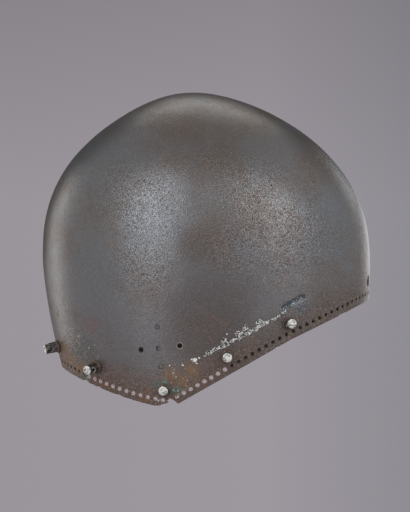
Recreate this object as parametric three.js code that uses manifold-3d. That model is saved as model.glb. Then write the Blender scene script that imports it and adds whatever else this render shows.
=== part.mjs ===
// Bascinet: an open iron skull with pierced studs and lining holes along its rim.
// Sizes are in millimetres: +X is the brow, +Y is the wearer's left and +Z is up.
// The origin is the inside of the crown, where the head carries the skull.
import * as THREE from 'three';
import { mergeVertices } from 'three/addons/utils/BufferGeometryUtils.js';
import Module from 'manifold-3d';

const wasm = await Module();
wasm.setup();

// Skull plate, measured outside from its middle line and from the level where the sides are widest
const plateThickness = 2;
const crownRise = 114.8;
const crownSetback = 8.3;
const browReach = 115.8;
const napeReach = 113.9;
const sideReach = 86.2;
const browWidestDrop = 12.8;
const napeWidestDrop = 0.3;
const drawInDepth = 100;

// Roundness of the three profiles and of the plan, as powers
const browRisePower = 2.66;
const sideRisePower = 2.35;
const napeRisePower = 2.35;
const taperPower = 3;
const leanPower = 2;
const browPlanPower = 2.35;
const napePlanPower = 2.16;
const drawInPower = 1.5;

// How much each wall tapers towards the crown, as a share of its reach
const browTaperShare = 0.205;
const sideTaperShare = 0.08;
const napeTaperShare = 0.284;

// How far each wall has drawn in again at drawInDepth, as a share of its reach
const browDrawInShare = 0.033;
const sideDrawInShare = 0.124;
const napeDrawInShare = 0.173;

// Lower edge from the cheek corner: two flat cuts up to the brow and one bowed cut up to the nape
const cheekSetback = 22.9;
const cheekDrop = 104.1;
const cheekEdgeSlope = 0.569;
const browEdgeSlope = 0.481;
const browEdgeStart = 60;
const napeEdgeSlope = 0.372;
const napeEdgeBow = 4.8;

// Holes along the edge
const liningHoleRadius = 1.15;
const liningHoleAbove = 4.6;
const liningHoleCount = 120;
const liningHolePhase = 0.9;
const browHoleRadius = 3.7;
const browHoleAbove = 12;
const browHoleFromCentre = 20;

// Pierced studs, five to a side
const studPlaceShares = [0.3295, 0.477, 0.629, 0.788, 0.941];
const studAboves = [10.6, 11.7, 11.2, 12.9, 12.9];
const studLength = 10.2;
const studFootRadius = 3.5;
const studEndRadius = 3.3;
const studEndRound = 0.5;
const studEndDome = 0.3;
const collarRadius = 4.1;
const collarHeight = 1.3;
const collarChamfer = 0.5;
const tangRadius = 2;
const peenRadius = 3.6;
const peenHeight = 1.4;
const cordHoleRadius = 1.5;
const cordHoleFromEnd = 3.4;
const studLeanDegrees = [-3, 0, 8, -2, 0];
const studLiftDegrees = [9, 5, 11, -3, 0];

// Old rivet holes in the sides, some still plugged by a stub of their rivet
const sideHoleRadius = 1.75;
const smallHoleRadius = 1.1;
const stubSink = 0.15;
const stubDome = 0.15;
const stubHeadRadius = 2.8;
const stubHeadHeight = 0.9;

// A broken lining hole has taken the tip off the right cheek corner
const notchWidth = 16.3;
const notchHeight = 6.3;
const notchBehindCorner = 10.3;
const notchOutlineShares = [[0, 0.3], [0.3, 0.46], [0.6, 0.74], [0.74, 1], [0.86, 0.82], [1, 0.5]];

// Clearances
const seatGap = 0.3;
const cutOverrun = 4;

// Fineness of the faceted surfaces
const faceColumns = 18;
const napeColumns = 14;
const wallRows = 15;
const rowSamples = 720;
const solveSteps = 16;
const liningHoleSides = 6;
const hiddenHoleSides = 6;
const holeSides = 10;
const studSides = 12;
const stubSides = 10;

const brow = {
  reach: browReach,
  wideLevel: -browWidestDrop,
  risePower: browRisePower,
  taperShare: browTaperShare,
  planPower: browPlanPower,
  drawInShare: browDrawInShare,
};
const nape = {
  reach: napeReach,
  wideLevel: -napeWidestDrop,
  risePower: napeRisePower,
  taperShare: napeTaperShare,
  planPower: napePlanPower,
  drawInShare: napeDrawInShare,
};
const side = {
  reach: sideReach,
  wideLevel: 0,
  risePower: sideRisePower,
  taperShare: sideTaperShare,
  drawInShare: sideDrawInShare,
};

const outside = 0;
const inside = plateThickness;

const ironSkin = new THREE.MeshStandardMaterial({ color: 0x5b5654, roughness: 0.5, metalness: 0.7 });
const brassPost = new THREE.MeshStandardMaterial({ color: 0x8c8272, roughness: 0.45, metalness: 0.8 });
const ironStub = new THREE.MeshStandardMaterial({ color: 0x6e6966, roughness: 0.6, metalness: 0.7 });

// Distance of one wall from the middle line at a level, on the skin that lies inset inside the outer one
function wallReach(level, wall, inset) {
  const reach = wall.reach - inset;
  if (level >= wall.wideLevel) {
    const rise = crownRise - inset - wall.wideLevel;
    const share = Math.min((level - wall.wideLevel) / rise, 1);
    return reach * Math.sqrt(1 - share ** wall.risePower) * (1 - wall.taperShare * share ** taperPower);
  }
  const depthShare = (wall.wideLevel - level) / drawInDepth;
  return reach * (1 - wall.drawInShare * depthShare ** drawInPower);
}

// Point on a skin: above the widest level the walls lean back to the crown
function skinPoint(angle, level, inset) {
  const along = Math.cos(angle);
  const across = Math.sin(angle);
  const end = along >= 0 ? brow : nape;
  const power = 2 / end.planPower;
  const lean = crownSetback * (Math.max(level, 0) / (crownRise - inset)) ** leanPower;
  const x = wallReach(level, end, inset) * Math.sign(along) * Math.abs(along) ** power - lean;
  const y = wallReach(level, side, inset) * Math.sign(across) * Math.abs(across) ** power;
  return new THREE.Vector3(x, y, level);
}

// Level of the lower edge, or of a row that runs above it, at a distance ahead of the middle line
function edgeLevel(x, above) {
  const ahead = x + cheekSetback;
  const browStart = cheekEdgeSlope * (browEdgeStart + cheekSetback);
  const cheekLevel = cheekEdgeSlope * ahead + above * Math.hypot(1, cheekEdgeSlope);
  const browLevel = browStart + browEdgeSlope * (x - browEdgeStart) + above * Math.hypot(1, browEdgeSlope);
  const napeShare = -ahead / (napeReach - cheekSetback);
  const bow = napeEdgeBow * 4 * Math.max(napeShare * (1 - napeShare), 0);
  const napeLevel = -napeEdgeSlope * ahead - bow + above * Math.hypot(1, napeEdgeSlope);
  return Math.max(Math.min(cheekLevel, browLevel), napeLevel) - cheekDrop;
}

function rowPoint(angle, above, inset) {
  let level = -cheekDrop;
  for (let step = 0; step < solveSteps; step += 1) {
    level = edgeLevel(skinPoint(angle, level, inset).x, above);
  }
  return skinPoint(angle, level, inset);
}

// Outward direction of the outer skin
function skinNormal(angle, level) {
  const turn = Math.PI / rowSamples;
  const lift = plateThickness;
  const around = skinPoint(angle + turn, level, outside).sub(skinPoint(angle - turn, level, outside));
  const up = skinPoint(angle, level + lift, outside).sub(skinPoint(angle, level - lift, outside));
  return around.cross(up).normalize();
}

// A row round the skull from the brow to the nape on the left side, with its running length
function tracedRow(above) {
  const places = [];
  let length = 0;
  let last = null;
  for (let index = 0; index <= rowSamples; index += 1) {
    const angle = Math.PI * index / rowSamples;
    const point = rowPoint(angle, above, outside);
    if (last) length += point.distanceTo(last);
    places.push({ angle, length });
    last = point;
  }
  return { above, places, length };
}

function angleAlong(row, arc) {
  const next = Math.max(row.places.findIndex((place) => place.length >= arc), 1);
  const before = row.places[next - 1];
  const after = row.places[next];
  const share = (arc - before.length) / (after.length - before.length);
  return before.angle + share * (after.angle - before.angle);
}

// Where something sits on the outer skin: its point, its outward direction and the direction to the brow
function seatOnRow(row, arc, sideSign) {
  const angle = angleAlong(row, arc) * sideSign;
  const turn = Math.PI / rowSamples;
  const point = rowPoint(angle, row.above, outside);
  const ahead = rowPoint(angle - turn * sideSign, row.above, outside);
  const normal = skinNormal(angle, point.z);
  const forward = ahead.sub(point);
  forward.addScaledVector(normal, -forward.dot(normal)).normalize();
  return { point, normal, forward };
}

function seatOnSide(x, level, sideSign) {
  let low = 0;
  let high = Math.PI;
  for (let step = 0; step < solveSteps * 2; step += 1) {
    const middle = (low + high) / 2;
    if (skinPoint(middle, level, outside).x > x) low = middle;
    else high = middle;
  }
  const angle = low * sideSign;
  const point = skinPoint(angle, level, outside);
  const normal = skinNormal(angle, level);
  const forward = new THREE.Vector3(1, 0, 0);
  forward.addScaledVector(normal, -forward.dot(normal)).normalize();
  return { point, normal, forward };
}

function closedGeometry(points, triangles) {
  const geometry = new THREE.BufferGeometry();
  const values = points.flatMap((point) => [point.x, point.y, point.z]);
  geometry.setAttribute('position', new THREE.Float32BufferAttribute(values, 3));
  geometry.setIndex(triangles.flat());
  return geometry;
}

// Solid with its shared points merged and without the triangles that close up to nothing
function solidOf(source) {
  const geometry = source.clone();
  geometry.deleteAttribute('normal');
  geometry.deleteAttribute('uv');
  const merged = mergeVertices(geometry);
  const triangles = [];
  for (let at = 0; at < merged.index.count; at += 3) {
    const corners = [0, 1, 2].map((corner) => merged.index.getX(at + corner));
    if (new Set(corners).size === 3) triangles.push(...corners);
  }
  const vertProperties = new Float32Array(merged.attributes.position.array);
  const triVerts = new Uint32Array(triangles);
  return new wasm.Manifold(new wasm.Mesh({ numProp: 3, vertProperties, triVerts }));
}

function geometryOf(solid) {
  const mesh = solid.getMesh();
  const geometry = new THREE.BufferGeometry();
  geometry.setAttribute('position', new THREE.BufferAttribute(new Float32Array(mesh.vertProperties), 3));
  geometry.setIndex(new THREE.BufferAttribute(new Uint32Array(mesh.triVerts), 1));
  geometry.computeVertexNormals();
  return geometry;
}

// Round cutter whose flats, not its corners, lie on the radius
function roundCutter(radius, sides, length, centre, direction) {
  const corner = radius / Math.cos(Math.PI / sides);
  const geometry = new THREE.CylinderGeometry(corner, corner, length, sides);
  const turn = new THREE.Quaternion().setFromUnitVectors(new THREE.Vector3(0, 1, 0), direction);
  geometry.applyQuaternion(turn);
  geometry.translate(centre.x, centre.y, centre.z);
  return solidOf(geometry);
}

function throughPlate(seat, radius, sides) {
  const length = plateThickness + 2 * cutOverrun;
  const centre = seat.point.clone().addScaledVector(seat.normal, -plateThickness / 2);
  return roundCutter(radius, sides, length, centre, seat.normal);
}

// Angle at which a skin meets the cheek corner
function cornerAngle(inset) {
  let low = 0;
  let high = Math.PI;
  for (let step = 0; step < solveSteps * 2; step += 1) {
    const middle = (low + high) / 2;
    if (rowPoint(middle, 0, inset).x > -cheekSetback) low = middle;
    else high = middle;
  }
  return low;
}

// Columns run all round, with one exactly on each cheek corner
function columnAngles(inset) {
  const corner = cornerAngle(inset);
  const half = [];
  for (let index = 0; index < faceColumns; index += 1) half.push(corner * index / faceColumns);
  for (let index = 0; index < napeColumns; index += 1) {
    half.push(corner + (Math.PI - corner) * index / napeColumns);
  }
  const back = half.slice(1).reverse().map((angle) => -angle);
  return [...half, Math.PI, ...back];
}

// Level at an even share of the way down the wall: round over the crown, then straight to the edge
function wallLevel(share, lowest, inset) {
  const top = crownRise - inset;
  const travel = share * (Math.PI / 2 - lowest / top);
  return travel < Math.PI / 2 ? top * Math.cos(travel) : top * (Math.PI / 2 - travel);
}

function makeSkullBlank() {
  const points = [];
  const triangles = [];
  const columns = 2 * (faceColumns + napeColumns);
  const starts = {};
  for (const inset of [outside, inside]) {
    starts[inset] = points.length;
    const angles = columnAngles(inset);
    for (let row = 1; row <= wallRows; row += 1) {
      for (const angle of angles) {
        const rim = rowPoint(angle, 0, inset);
        const level = wallLevel(row / wallRows, rim.z, inset);
        points.push(row === wallRows ? rim : skinPoint(angle, level, inset));
      }
    }
    points.push(new THREE.Vector3(-crownSetback, 0, crownRise - inset));
  }
  const vertex = (inset, row, column) => starts[inset] + (row - 1) * columns + column % columns;
  const pole = (inset) => starts[inset] + wallRows * columns;
  const quad = (a, b, c, d) => triangles.push([a, b, c], [a, c, d]);
  for (let column = 0; column < columns; column += 1) {
    triangles.push([pole(outside), vertex(outside, 1, column), vertex(outside, 1, column + 1)]);
    triangles.push([pole(inside), vertex(inside, 1, column + 1), vertex(inside, 1, column)]);
    for (let row = 1; row < wallRows; row += 1) {
      quad(vertex(outside, row, column), vertex(outside, row + 1, column),
        vertex(outside, row + 1, column + 1), vertex(outside, row, column + 1));
      quad(vertex(inside, row, column), vertex(inside, row, column + 1),
        vertex(inside, row + 1, column + 1), vertex(inside, row + 1, column));
    }
    quad(vertex(outside, wallRows, column), vertex(inside, wallRows, column),
      vertex(inside, wallRows, column + 1), vertex(outside, wallRows, column + 1));
  }
  return solidOf(closedGeometry(points, triangles));
}

const studRows = studAboves.map(tracedRow);
const liningRow = tracedRow(liningHoleAbove);
const browRow = tracedRow(browHoleAbove);
const sideSigns = { right: -1, left: 1 };

function studSeats() {
  const seats = [];
  for (const [sideName, sideSign] of Object.entries(sideSigns)) {
    for (const [index, share] of studPlaceShares.entries()) {
      const seat = seatOnRow(studRows[index], share * studRows[index].length, sideSign);
      const name = `vervelle_${sideName}_${index + 1}`;
      seats.push({ ...seat, name, lean: studLeanDegrees[index], lift: sideSign * studLiftDegrees[index] });
    }
  }
  return seats;
}

// Old rivet holes: place behind the middle line and below the widest level, as shares of reach and drop
const sideHoleShares = [
  { name: 'upper', backShare: 0.271, dropShare: 0.462, radius: sideHoleRadius, filled: true },
  { name: 'rear', backShare: 0.373, dropShare: 0.613, radius: sideHoleRadius, filled: false },
  { name: 'middle', backShare: 0.265, dropShare: 0.603, radius: sideHoleRadius, filled: true },
  { name: 'front', backShare: 0.139, dropShare: 0.586, radius: sideHoleRadius, filled: false },
  { name: 'lower', backShare: 0.251, dropShare: 0.726, radius: sideHoleRadius, filled: true },
  { name: 'small', backShare: 0.121, dropShare: 0.714, radius: smallHoleRadius, filled: true },
  { name: 'worn', backShare: 0.047, dropShare: 0.679, radius: sideHoleRadius, filled: true },
];

function sideHoleSeats() {
  const seats = [];
  for (const [sideName, sideSign] of Object.entries(sideSigns)) {
    for (const hole of sideHoleShares) {
      const seat = seatOnSide(-hole.backShare * napeReach, -hole.dropShare * cheekDrop, sideSign);
      seats.push({ ...hole, name: `stub_${sideName}_${hole.name}`, ...seat });
    }
  }
  return seats;
}

function liningHoleCutters() {
  const loop = 2 * liningRow.length;
  const cutters = [];
  for (let index = 0; index < liningHoleCount; index += 1) {
    const arc = liningHolePhase + index * loop / liningHoleCount;
    const onRight = arc < liningRow.length;
    const seat = seatOnRow(liningRow, onRight ? arc : loop - arc, onRight ? sideSigns.right : sideSigns.left);
    cutters.push(throughPlate(seat, liningHoleRadius, liningHoleSides));
  }
  return cutters;
}

// Upright prism through the right wall at the cheek corner
function notchCutter() {
  const left = -cheekSetback - notchBehindCorner;
  const corners = notchOutlineShares.map(([alongShare, upShare]) => (
    new THREE.Vector2(left + alongShare * notchWidth, upShare * notchHeight - cheekDrop)
  ));
  corners.push(new THREE.Vector2(left + notchWidth, -cheekDrop - cutOverrun));
  corners.push(new THREE.Vector2(left, -cheekDrop - cutOverrun));
  const depth = sideReach;
  const geometry = new THREE.ExtrudeGeometry(new THREE.Shape(corners), { depth, bevelEnabled: false });
  geometry.rotateX(Math.PI / 2);
  return solidOf(geometry);
}

function makeSkull(studs, holes) {
  const cutters = [...liningHoleCutters(), notchCutter()];
  for (const sideSign of Object.values(sideSigns)) {
    const browSeat = seatOnRow(browRow, browHoleFromCentre, sideSign);
    cutters.push(throughPlate(browSeat, browHoleRadius, holeSides));
  }
  for (const stud of studs) cutters.push(throughPlate(stud, tangRadius + seatGap, hiddenHoleSides));
  for (const hole of holes) cutters.push(throughPlate(hole, hole.radius, holeSides));
  const skull = new THREE.Mesh(geometryOf(makeSkullBlank().subtract(wasm.Manifold.union(cutters))), ironSkin);
  skull.name = 'skull';
  return skull;
}

// Turned post on its own axis, +Y outward from the plate's outer face
function turned(profile, sides) {
  return new THREE.LatheGeometry(profile.map(([radius, height]) => new THREE.Vector2(radius, height)), sides);
}

function placeOn(mesh, seat) {
  const third = new THREE.Vector3().crossVectors(seat.forward, seat.normal);
  const frame = new THREE.Matrix4().makeBasis(seat.forward, seat.normal, third);
  mesh.quaternion.setFromRotationMatrix(frame);
  mesh.position.copy(seat.point);
}

function makeStud(seat) {
  const collarTop = seatGap + collarHeight;
  const peenTop = -plateThickness - 2 * seatGap;
  const peenBottom = peenTop - peenHeight;
  const post = solidOf(turned([
    [0, peenBottom],
    [peenRadius / 2, peenBottom],
    [peenRadius, (peenTop + peenBottom) / 2],
    [peenRadius, peenTop],
    [tangRadius, peenTop],
    [tangRadius, seatGap],
    [collarRadius, seatGap],
    [collarRadius, collarTop - collarChamfer],
    [collarRadius - collarChamfer, collarTop],
    [studFootRadius, collarTop],
    [studEndRadius, studLength - studEndRound],
    [studEndRadius - studEndRound, studLength],
    [0, studLength + studEndDome],
  ], studSides));
  const holeCentre = new THREE.Vector3(0, studLength - cordHoleFromEnd, 0);
  const holeLength = 2 * (collarRadius + cutOverrun);
  const cordHole = roundCutter(cordHoleRadius, holeSides, holeLength, holeCentre, new THREE.Vector3(1, 0, 0));
  const geometry = geometryOf(post.subtract(cordHole));
  // The post is bent over above its collar, along the rim and away from it
  const bendAlong = Math.tan(THREE.MathUtils.degToRad(seat.lean));
  const bendUp = Math.tan(THREE.MathUtils.degToRad(seat.lift));
  const position = geometry.attributes.position;
  for (let index = 0; index < position.count; index += 1) {
    const height = Math.max(position.getY(index) - collarTop, 0);
    position.setX(index, position.getX(index) + bendAlong * height);
    position.setZ(index, position.getZ(index) + bendUp * height);
  }
  geometry.computeVertexNormals();
  const stud = new THREE.Mesh(geometry, brassPost);
  stud.name = seat.name;
  placeOn(stud, seat);
  return stud;
}

// Stub of a broken rivet: flush outside and peened over inside
function makeStub(seat) {
  const shankRadius = seat.radius - seatGap;
  const headTop = -plateThickness - 2 * seatGap;
  const geometry = turned([
    [0, headTop - stubHeadHeight],
    [stubHeadRadius / 2, headTop - stubHeadHeight],
    [stubHeadRadius, headTop],
    [shankRadius, headTop],
    [shankRadius, -stubSink],
    [0, stubDome - stubSink],
  ], stubSides);
  const stub = new THREE.Mesh(geometryOf(solidOf(geometry)), ironStub);
  stub.name = seat.name;
  placeOn(stub, seat);
  return stub;
}

const studs = studSeats();
const holes = sideHoleSeats();
const bascinet = new THREE.Group();
bascinet.position.set(crownSetback, 0, plateThickness - crownRise);
bascinet.add(makeSkull(studs, holes));
for (const stud of studs) bascinet.add(makeStud(stud));
for (const hole of holes.filter((each) => each.filled)) bascinet.add(makeStub(hole));

export default bascinet;
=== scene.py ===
# Studio picture of a bascinet: a raised iron skull with pierced studs round its lower edge.
# The skull and its fittings are rebuilt from the part's own sizes, finer and with their age and wear.
# Sizes are in millimetres from the level where the sides are widest, and the finished pieces are in metres.
import math

import bmesh
import bpy
import numpy as np
from mathutils import Matrix, Vector, noise


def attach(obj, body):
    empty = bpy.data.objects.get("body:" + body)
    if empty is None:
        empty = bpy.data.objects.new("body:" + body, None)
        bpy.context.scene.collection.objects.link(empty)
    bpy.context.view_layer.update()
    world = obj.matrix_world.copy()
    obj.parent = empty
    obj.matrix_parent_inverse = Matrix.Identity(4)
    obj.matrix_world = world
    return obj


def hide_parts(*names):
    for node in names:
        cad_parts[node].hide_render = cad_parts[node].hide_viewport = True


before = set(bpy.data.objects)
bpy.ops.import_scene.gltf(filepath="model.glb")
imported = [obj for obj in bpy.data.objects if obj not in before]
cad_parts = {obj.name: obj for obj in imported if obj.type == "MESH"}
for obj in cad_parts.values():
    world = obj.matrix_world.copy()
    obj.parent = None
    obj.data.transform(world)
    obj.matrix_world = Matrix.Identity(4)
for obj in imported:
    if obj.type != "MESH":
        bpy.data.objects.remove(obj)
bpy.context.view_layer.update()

MM = 0.001
PER_METRE = 1000.0

# Skull plate
PLATE = 2.0
CROWN_RISE = 114.8
CROWN_SETBACK = 8.3
DRAW_IN_DEPTH = 100.0
DRAW_IN_POWER = 1.5
CHEEK_SETBACK = 22.9
CHEEK_DROP = 104.1
CHEEK_EDGE_SLOPE = 0.569
BROW_EDGE_SLOPE = 0.481
BROW_EDGE_START = 60.0
NAPE_EDGE_SLOPE = 0.372
NAPE_EDGE_BOW = 4.8
BROW = {"reach": 115.8, "wide": -12.8, "rise": 2.66, "taper": 0.205, "plan": 2.35, "draw_in": 0.033}
NAPE = {"reach": 113.9, "wide": -0.3, "rise": 2.35, "taper": 0.284, "plan": 2.16, "draw_in": 0.173}
SIDE = {"reach": 86.2, "wide": 0.0, "rise": 2.35, "taper": 0.08, "draw_in": 0.124}

# Holes in the plate
LINING_RADIUS = 1.15
LINING_ABOVE = 4.6
LINING_COUNT = 120
LINING_PHASE = 0.9
BROW_HOLE_RADIUS = 3.7
BROW_HOLE_ABOVE = 12.0
BROW_HOLE_OFFSET = 20.0
HOLE_RADIUS = 1.75
SMALL_HOLE_RADIUS = 1.1
NOTCH_WIDTH = 16.3
NOTCH_HEIGHT = 6.3
NOTCH_BACK = 10.3

# Pierced studs and the stubs of old rivets
STUD_PLACES = (0.3295, 0.477, 0.629, 0.788, 0.941)
STUD_ABOVES = (10.6, 11.7, 11.2, 12.9, 12.9)
STUD_LEANS = (-3.0, 0.0, 8.0, -2.0, 0.0)
STUD_LIFTS = (9.0, 5.0, 11.0, -3.0, 0.0)
STUD_LENGTH = 10.2
FOOT_RADIUS = 3.5
END_RADIUS = 3.3
COLLAR_RADIUS = 4.5
COLLAR_HEIGHT = 1.3
TANG_RADIUS = 2.0
PEEN_RADIUS = 3.6
PEEN_HEIGHT = 1.4
CORD_HOLE_RADIUS = 1.5
CORD_HOLE_MOUTH = 2.05
CORD_HOLE_FROM_END = 3.4
SEAT_GAP = 0.3
STUB_HEAD_RADIUS = 2.8
STUB_HEAD_HEIGHT = 0.9

SIDES = {"right": -1.0, "left": 1.0}
SIDE_HOLES = (
    ("upper", 0.271, 0.462, HOLE_RADIUS, True),
    ("rear", 0.373, 0.613, HOLE_RADIUS, False),
    ("middle", 0.265, 0.603, HOLE_RADIUS, True),
    ("front", 0.139, 0.586, HOLE_RADIUS, False),
    ("lower", 0.251, 0.726, HOLE_RADIUS, True),
    ("small", 0.121, 0.714, SMALL_HOLE_RADIUS, True),
    ("worn", 0.047, 0.679, HOLE_RADIUS, True),
)
# How far each stub sits below the plate's face, and how far it is pushed to the front of its hole
STUB_SINKS = {"upper": 0.5, "middle": 0.02, "lower": 0.02, "small": -0.15, "worn": -0.1}
STUB_SLIDES = {"middle": 0.24}

# Marks on the skull, by distance ahead and level. Patches, dots and zones have a radius as third number.

# The line that is scraped to bright metal, with its width along each stroke, and the stretch round it
SCRAPE_PATH = (
    (1.0, -67.6), (7.5, -63.8), (11.5, -62.2), (21.8, -57.0),
    (31.4, -52.2), (40.0, -46.6), (48.0, -43.4), (57.0, -36.8),
)
SCRAPE_STROKES = tuple(zip(SCRAPE_PATH[:-1], SCRAPE_PATH[1:]))
SCRAPE_WIDTHS = (2.2, 2.2, 3.0, 3.0, 3.0, 2.6, 1.8)
SCRAPE_PATCHES = (
    (-5.4, -71.2, 2.9), (3.4, -66.0, 3.0), (15.2, -58.2, 4.4), (25.0, -53.2, 4.8),
    (28.8, -49.2, 3.8), (38.6, -45.6, 4.6),
)
SCRAPED_STRETCH = (-12.0, 76.0)
SCRAPE_FOOT = (-6.0, -70.6)
SCRAPE_SLOPE = 0.56
SCRAPE_HALF_HEIGHT = 9.0
SCRAPE_REACH = 4.2
BRIGHT_DOTS = (
    (11.1, -62.4, 0.95), (16.4, -52.9, 0.8), (31.6, -52.6, 0.9), (-22.8, -74.7, 0.5),
    (-20.5, -79.8, 0.65), (-18.4, -82.4, 0.4), (-10.6, -84.7, 0.45), (-5.2, -71.0, 1.7),
    (-2.6, -69.2, 0.8), (-7.6, -70.3, 0.8), (-4.3, -73.2, 0.7),
)
# The gouge at the line's end with the blued spot by it, and a faint scratch
GOUGE = ((54.7, -35.0), (67.6, -28.2))
BLUED_SPOT = (68.2, -36.1)
SCRATCH = ((-5.3, -33.8), (16.7, -46.8))
# Zones where the grey is cooler, browner, redder or more pitted
COOL_ZONES = ((-66.0, 60.0, 42.0), (-40.0, 30.0, 38.0), (86.0, 22.0, 36.0), (-70.0, -10.0, 30.0))
UMBER_ZONES = ((2.0, -46.0, 44.0), (-4.0, 8.0, 18.0))
EMBER_ZONES = ((64.0, 2.0, 44.0), (-84.0, -58.0, 20.0))
PITTED_ZONES = (
    (-39.0, 34.0, 34.0), (-38.0, -2.0, 30.0), (34.0, 44.0, 36.0), (56.0, 12.0, 44.0),
    (26.0, 6.0, 30.0), (-88.0, -62.0, 17.0),
)
# Orange rust, verdigris under the studs, white grains, and a teal and a pink bloom
ORANGE_RUST = (
    (-21.5, -81.0, 11.4), (-8.0, -77.3, 10.2), (-14.0, -85.0, 7.2), (-97.0, -65.0, 6.6),
    (-92.0, -71.5, 6.6), (-85.0, -77.0, 6.0),
)
VERDIGRIS = (
    (-31.5, -87.8, 4.5), (-26.0, -86.6, 4.0), (-21.0, -91.0, 4.5), (-16.8, -92.0, 4.2),
    (-81.5, -85.0, 4.5),
)
CHALK_ZONES = ((-86.0, -62.0, 20.0), (-17.0, -80.0, 17.0))
CHALK_CORE = 8.0
CHALK_DOTS = (
    (-86.4, -55.1, 0.8), (-82.4, -58.1, 0.5), (-78.9, -63.2, 0.65), (-75.0, -61.0, 0.5),
    (-72.6, -69.1, 0.6), (-30.5, -98.6, 1.1), (-27.2, -99.2, 0.9), (-23.6, -98.6, 0.8),
)
TEAL_SPOT = (-83.0, -67.0)
BLUSH_SPOT = (-77.5, -47.0)
# The stretch where the lining holes get painted light round their mouths and walls, standing in for light
# seen through them, and the radius of the painted highlight ring round the front side hole
LIT_HOLE_STRETCH = (-80.0, 16.0)
FRONT_HIGHLIGHT_RING = 2.05

# Steps in which half of a row is traced, halvings that find an angle, and passes that settle a row's level
ROW_STEPS = 720
HALVINGS = 32
LEVEL_PASSES = 16


# Skull surface

def wall_reach(level, wall, inset):
    level = np.asarray(level, float)
    reach = wall["reach"] - inset
    rise = CROWN_RISE - inset - wall["wide"]
    up = np.clip((level - wall["wide"]) / rise, 0.0, 1.0)
    down = np.clip((wall["wide"] - level) / DRAW_IN_DEPTH, 0.0, None)
    above = reach * np.sqrt(1.0 - up ** wall["rise"]) * (1.0 - wall["taper"] * up ** 3)
    return np.where(level >= wall["wide"], above, reach * (1.0 - wall["draw_in"] * down ** DRAW_IN_POWER))


def skin_point(angle, level, inset=0.0):
    angle, level = np.broadcast_arrays(np.asarray(angle, float), np.asarray(level, float))
    along, across = np.cos(angle), np.sin(angle)
    ahead = along >= 0.0
    power = np.where(ahead, 2.0 / BROW["plan"], 2.0 / NAPE["plan"])
    reach = np.where(ahead, wall_reach(level, BROW, inset), wall_reach(level, NAPE, inset))
    lean = CROWN_SETBACK * (np.maximum(level, 0.0) / (CROWN_RISE - inset)) ** 2
    x = reach * np.sign(along) * np.abs(along) ** power - lean
    y = wall_reach(level, SIDE, inset) * np.sign(across) * np.abs(across) ** power
    return np.stack([x, y, level], axis=-1)


def edge_level(x, above):
    ahead = x + CHEEK_SETBACK
    brow_start = CHEEK_EDGE_SLOPE * (BROW_EDGE_START + CHEEK_SETBACK)
    cheek = CHEEK_EDGE_SLOPE * ahead + above * math.hypot(1.0, CHEEK_EDGE_SLOPE)
    brow = brow_start + BROW_EDGE_SLOPE * (x - BROW_EDGE_START) + above * math.hypot(1.0, BROW_EDGE_SLOPE)
    share = -ahead / (NAPE["reach"] - CHEEK_SETBACK)
    bow = NAPE_EDGE_BOW * 4.0 * np.maximum(share * (1.0 - share), 0.0)
    nape = -NAPE_EDGE_SLOPE * ahead - bow + above * math.hypot(1.0, NAPE_EDGE_SLOPE)
    return np.maximum(np.minimum(cheek, brow), nape) - CHEEK_DROP


def row_point(angle, above, inset=0.0):
    angle = np.asarray(angle, float)
    level = np.full(angle.shape, -CHEEK_DROP)
    for _ in range(LEVEL_PASSES):
        level = edge_level(skin_point(angle, level, inset)[..., 0], above)
    return skin_point(angle, level, inset)


def skin_normal(angle, level):
    turn = math.pi / ROW_STEPS
    around = skin_point(angle + turn, level) - skin_point(angle - turn, level)
    up = skin_point(angle, level + PLATE) - skin_point(angle, level - PLATE)
    normal = np.cross(around, up)
    return normal / np.linalg.norm(normal, axis=-1, keepdims=True)


def traced_row(above):
    """Row at a height above the edge, with its length from the brow to each angle."""
    angles = np.linspace(0.0, math.pi, ROW_STEPS + 1)
    steps = np.linalg.norm(np.diff(row_point(angles, above), axis=0), axis=1)
    return {"above": above, "angles": angles, "lengths": np.concatenate([[0.0], np.cumsum(steps)])}


def last_angle(holds):
    """How far round from the brow a test of the angle still holds, found by halving."""
    low, high = 0.0, math.pi
    for _ in range(HALVINGS):
        middle = (low + high) / 2.0
        if holds(middle):
            low = middle
        else:
            high = middle
    return low


def seat_at(point, normal, ahead):
    """Matrix whose X runs along the edge towards the brow and whose Z stands out of the plate."""
    out = Vector(normal).normalized()
    forward = Vector(ahead)
    forward = (forward - out * forward.dot(out)).normalized()
    third = out.cross(forward)
    seat = Matrix((forward, third, out)).transposed().to_4x4()
    seat.translation = Vector(point)
    return seat


def seat_on_row(row, arc, sign):
    angle = float(np.interp(arc, row["lengths"], row["angles"])) * sign
    point = row_point(angle, row["above"])
    ahead = row_point(angle - sign * math.pi / ROW_STEPS, row["above"])
    return seat_at(point, skin_normal(angle, point[2]), ahead - point)


def seat_on_side(x, level, sign):
    angle = last_angle(lambda turn: skin_point(turn, level)[0] > x) * sign
    return seat_at(skin_point(angle, level), skin_normal(angle, level), (1.0, 0.0, 0.0))


TO_METRES = Matrix.Diagonal((MM, MM, MM, 1.0)) @ Matrix.Translation((CROWN_SETBACK, 0.0, PLATE - CROWN_RISE))


# Mesh helpers

def mesh_object(name, vertices, faces, matrix=None):
    mesh = bpy.data.meshes.new(name)
    mesh.from_pydata([tuple(v) for v in vertices], [], faces)
    if matrix is not None:
        mesh.transform(matrix)
    mesh.update()
    thing = bpy.data.objects.new(name, mesh)
    bpy.context.scene.collection.objects.link(thing)
    return thing


def turned_faces(rings, sides):
    faces = []
    for ring in range(rings - 1):
        for side in range(sides):
            a = ring * sides + side
            b = ring * sides + (side + 1) % sides
            faces.append((a, b, b + sides, a + sides))
    faces.append(tuple(reversed(range(sides))))
    faces.append(tuple(range((rings - 1) * sides, rings * sides)))
    return faces


def circle(sides):
    """Directions round a circle."""
    turns = [2.0 * math.pi * side / sides for side in range(sides)]
    return [(math.cos(turn), math.sin(turn)) for turn in turns]


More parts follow.
